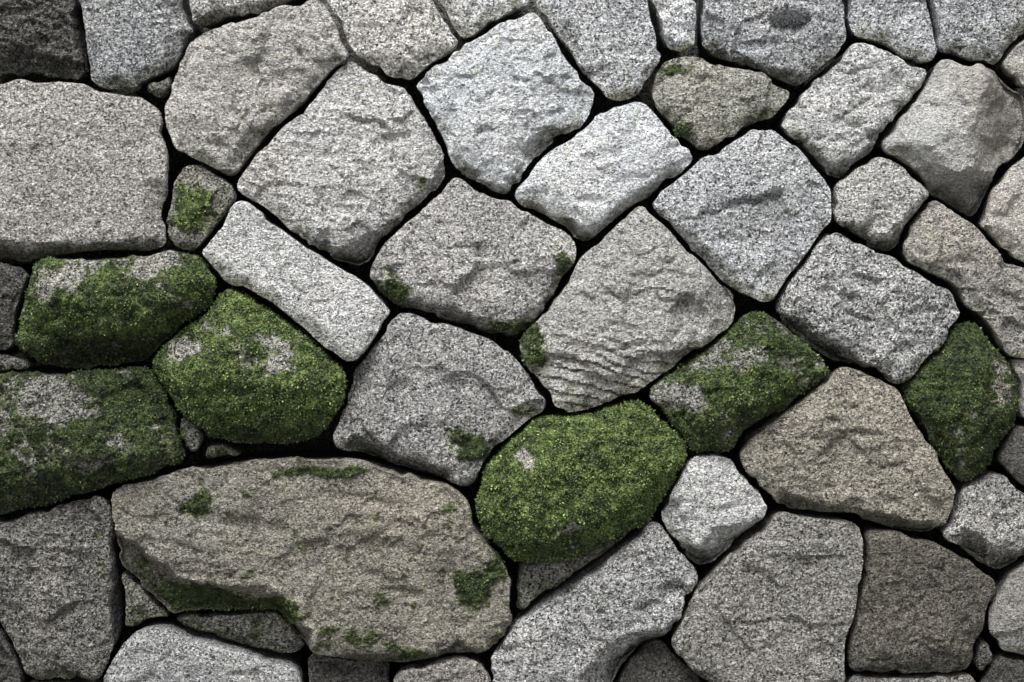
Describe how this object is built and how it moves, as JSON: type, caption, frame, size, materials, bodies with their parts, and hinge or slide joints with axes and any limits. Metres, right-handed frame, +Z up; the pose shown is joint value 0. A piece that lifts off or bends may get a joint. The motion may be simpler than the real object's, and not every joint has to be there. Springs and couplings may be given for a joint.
{
  "type": "dry stone wall section",
  "caption": "Double-faced battered dry stone wall section of irregular granite blocks, laid without mortar over a rubble hearting, with moss on some of its stones.",
  "frame": {"origin": "centre of the wall's foot, on the ground", "axes": "+X runs along the wall to the right as the front is seen, +Y from the front face to the back face, +Z up"},
  "size_m": [2.56, 1.0057, 1.7],
  "materials": {
    "pale_granite": "bush-hammered to rough-split pale speckled granite",
    "cool_granite": "rough blue-grey speckled granite",
    "warm_granite": "weathered warm grey-brown granite",
    "brown_granite": "rough dark brown weathered granite",
    "olive_granite": "olive-brown lichen-stained granite",
    "mossy_granite": "granite under patchy dark to yellow-green moss",
    "dark_granite": "deep-set dirty rubble in shadow"
  },
  "bodies": {
    "root": {"rough_brown_stone": "brown_granite", "warm_grey_block": "warm_granite", "blue_grey_block": "cool_granite", "scooped_top_stone": "cool_granite", "dressed_slab": "pale_granite", "waved_grey_block": "pale_granite", "long_grey_wedge": "cool_granite", "olive_brown_stone": "olive_granite", "rough_light_block": "pale_granite", "ridged_block": "warm_granite", "small_grey_stone": "warm_granite", "grooved_block": "cool_granite", "tilted_slab": "pale_granite", "broad_beige_block": "pale_granite", "flaky_wedge": "warm_granite", "faceted_light_block": "pale_granite", "brown_right_block": "brown_granite", "mossy_boulder": "mossy_granite", "mossy_round_stone": "mossy_granite", "pale_speckled_block": "pale_granite", "mossy_long_stone": "mossy_granite", "dark_mossy_stone": "mossy_granite", "mossy_left_slab": "mossy_granite", "bright_moss_stone": "mossy_granite", "tan_triangle_stone": "olive_granite", "light_faceted_stone": "pale_granite", "small_right_stone": "warm_granite", "great_ledge_slab": "olive_granite", "dark_left_block": "brown_granite", "long_low_block": "pale_granite", "upright_grey_block": "warm_granite", "olive_low_block": "olive_granite", "light_foot_stone": "pale_granite", "head_stones": "cool_granite", "foot_stones": "warm_granite", "pinning_stones": "dark_granite", "left_end_stones": "brown_granite", "right_end_stones": "warm_granite", "back_head_stones": "cool_granite", "back_upper_stones": "warm_granite", "back_lower_stones": "olive_granite", "back_foot_stones": "brown_granite", "end_closers": "warm_granite", "hearting": "dark_granite"}
  },
  "joints": []
}
